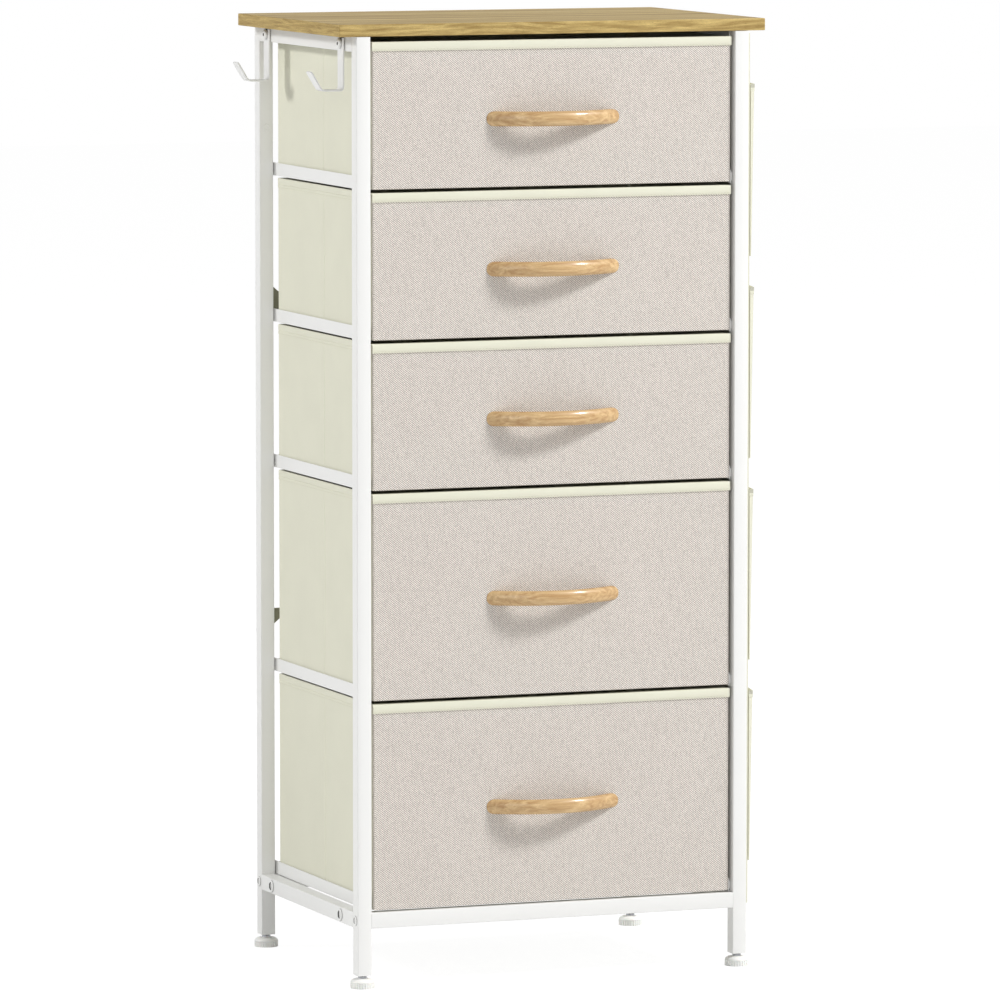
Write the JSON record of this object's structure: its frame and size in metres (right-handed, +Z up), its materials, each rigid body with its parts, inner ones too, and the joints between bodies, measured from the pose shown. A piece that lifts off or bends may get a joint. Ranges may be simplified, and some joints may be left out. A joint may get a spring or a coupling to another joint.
{
  "type": "fabric drawer dresser",
  "caption": "Tall narrow dresser: white steel tube frame with a wood top, sliding fabric drawers with bow handles, side hooks, hanging side pockets and levelling feet.",
  "frame": {"origin": "bottom centre of the whole outline, on the floor plane under the pads", "axes": "+Z up, -Y towards the front where the drawers open, +X to the right seen from the front"},
  "size_m": [0.4772, 0.3262, 0.95],
  "materials": {
    "frame_steel": "satin white powder coat",
    "brace_steel": "satin olive-grey coating",
    "top_oak": "pale oak grain laminate, satin",
    "handle_wood": "lacquered pale wood",
    "front_linen": "grey-beige fine linen twill over a stiff board",
    "drawer_lining": "pale beige-green non-woven cloth",
    "organiser_fabric": "pale non-woven cloth",
    "base_board": "bare fibreboard",
    "foot_plastic": "ivory moulded plastic on a steel stud",
    "plug_plastic": "white moulded plastic"
  },
  "bodies": {
    "frame": {"post_front_left": "frame_steel", "post_front_right": "frame_steel", "post_rear_left": "frame_steel", "post_rear_right": "frame_steel", "top_rail_left": "frame_steel", "top_rail_right": "frame_steel", "lower_rail_left": "frame_steel", "lower_rail_right": "frame_steel", "bottom_rail_front": "frame_steel", "bottom_rail_rear": "frame_steel", "runner_left_1": "frame_steel", "runner_right_1": "frame_steel", "runner_left_2": "frame_steel", "runner_right_2": "frame_steel", "runner_left_3": "frame_steel", "runner_right_3": "frame_steel", "runner_left_4": "frame_steel", "runner_right_4": "frame_steel", "runner_left_5": "frame_steel", "runner_right_5": "frame_steel", "brace_strip_rising": "brace_steel", "brace_strip_falling": "brace_steel", "wood_top": "top_oak", "plug_front_left": "plug_plastic", "plug_front_right": "plug_plastic", "plug_rear_left": "plug_plastic", "plug_rear_right": "plug_plastic", "hook_front": "frame_steel", "hook_rear": "frame_steel", "pocket_panel": "organiser_fabric", "pocket_1": "organiser_fabric", "pocket_2": "organiser_fabric", "pocket_3": "organiser_fabric", "pocket_4": "organiser_fabric"},
    "drawer_1": {"drawer_1_front": "front_linen", "drawer_1_box": "drawer_lining", "drawer_1_base": "base_board", "drawer_1_handle": "handle_wood"},
    "drawer_2": {"drawer_2_front": "front_linen", "drawer_2_box": "drawer_lining", "drawer_2_base": "base_board", "drawer_2_handle": "handle_wood"},
    "drawer_3": {"drawer_3_front": "front_linen", "drawer_3_box": "drawer_lining", "drawer_3_base": "base_board", "drawer_3_handle": "handle_wood"},
    "drawer_4": {"drawer_4_front": "front_linen", "drawer_4_box": "drawer_lining", "drawer_4_base": "base_board", "drawer_4_handle": "handle_wood"},
    "drawer_5": {"drawer_5_front": "front_linen", "drawer_5_box": "drawer_lining", "drawer_5_base": "base_board", "drawer_5_handle": "handle_wood"},
    "foot_front_left": {"foot_front_left": "foot_plastic"},
    "foot_front_right": {"foot_front_right": "foot_plastic"},
    "foot_rear_left": {"foot_rear_left": "foot_plastic"},
    "foot_rear_right": {"foot_rear_right": "foot_plastic"}
  },
  "joints": [
    {"name": "drawer_1_slide", "type": "slide", "parent": "frame", "child": "drawer_1", "axis": [0, -1, 0], "range_m": [0, 0.23]},
    {"name": "drawer_2_slide", "type": "slide", "parent": "frame", "child": "drawer_2", "axis": [0, -1, 0], "range_m": [0, 0.23]},
    {"name": "drawer_3_slide", "type": "slide", "parent": "frame", "child": "drawer_3", "axis": [0, -1, 0], "range_m": [0, 0.23]},
    {"name": "drawer_4_slide", "type": "slide", "parent": "frame", "child": "drawer_4", "axis": [0, -1, 0], "range_m": [0, 0.23]},
    {"name": "drawer_5_slide", "type": "slide", "parent": "frame", "child": "drawer_5", "axis": [0, -1, 0], "range_m": [0, 0.23]},
    {"name": "foot_front_left_screw", "type": "slide", "parent": "frame", "child": "foot_front_left", "axis": [0, 0, -1], "range_m": [0, 0.012]},
    {"name": "foot_front_right_screw", "type": "slide", "parent": "frame", "child": "foot_front_right", "axis": [0, 0, -1], "range_m": [0, 0.012]},
    {"name": "foot_rear_left_screw", "type": "slide", "parent": "frame", "child": "foot_rear_left", "axis": [0, 0, -1], "range_m": [0, 0.012]},
    {"name": "foot_rear_right_screw", "type": "slide", "parent": "frame", "child": "foot_rear_right", "axis": [0, 0, -1], "range_m": [0, 0.012]}
  ]
}
